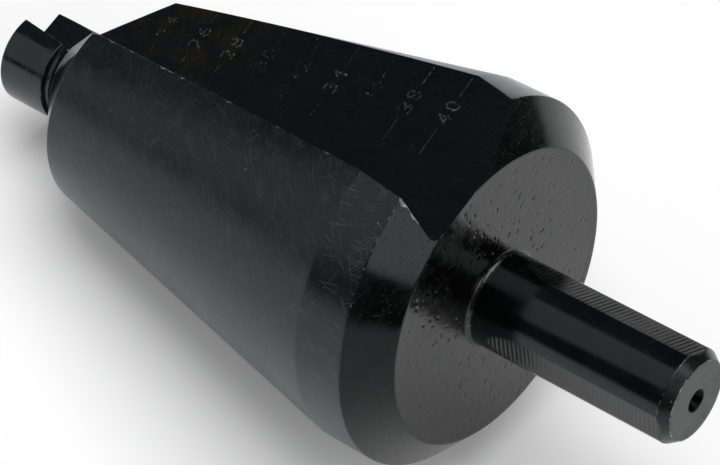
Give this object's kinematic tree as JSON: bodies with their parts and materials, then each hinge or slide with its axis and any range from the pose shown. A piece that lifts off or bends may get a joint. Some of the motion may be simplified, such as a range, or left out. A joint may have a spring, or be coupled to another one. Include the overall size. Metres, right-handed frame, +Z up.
{
  "type": "cone drill bit",
  "caption": "One-piece conical cutter for enlarging holes in sheet metal, with a straight V flute, a scale along it, and a round shank with milled flats.",
  "frame": {"origin": "on the floor under the middle of the part's box, with the part lying on its cone", "axes": "+X towards the shank end, which points up by the cone's half angle of 10.7 degrees, +Z up with the flute on top"},
  "size_m": [0.0892, 0.04, 0.0388],
  "materials": {
    "black_oxide_steel": "black oxide over turned, milled and ground high-speed steel, with bare metal where edges are worn"
  },
  "bodies": {
    "root": {"cone_drill_bit": "black_oxide_steel"}
  },
  "joints": []
}
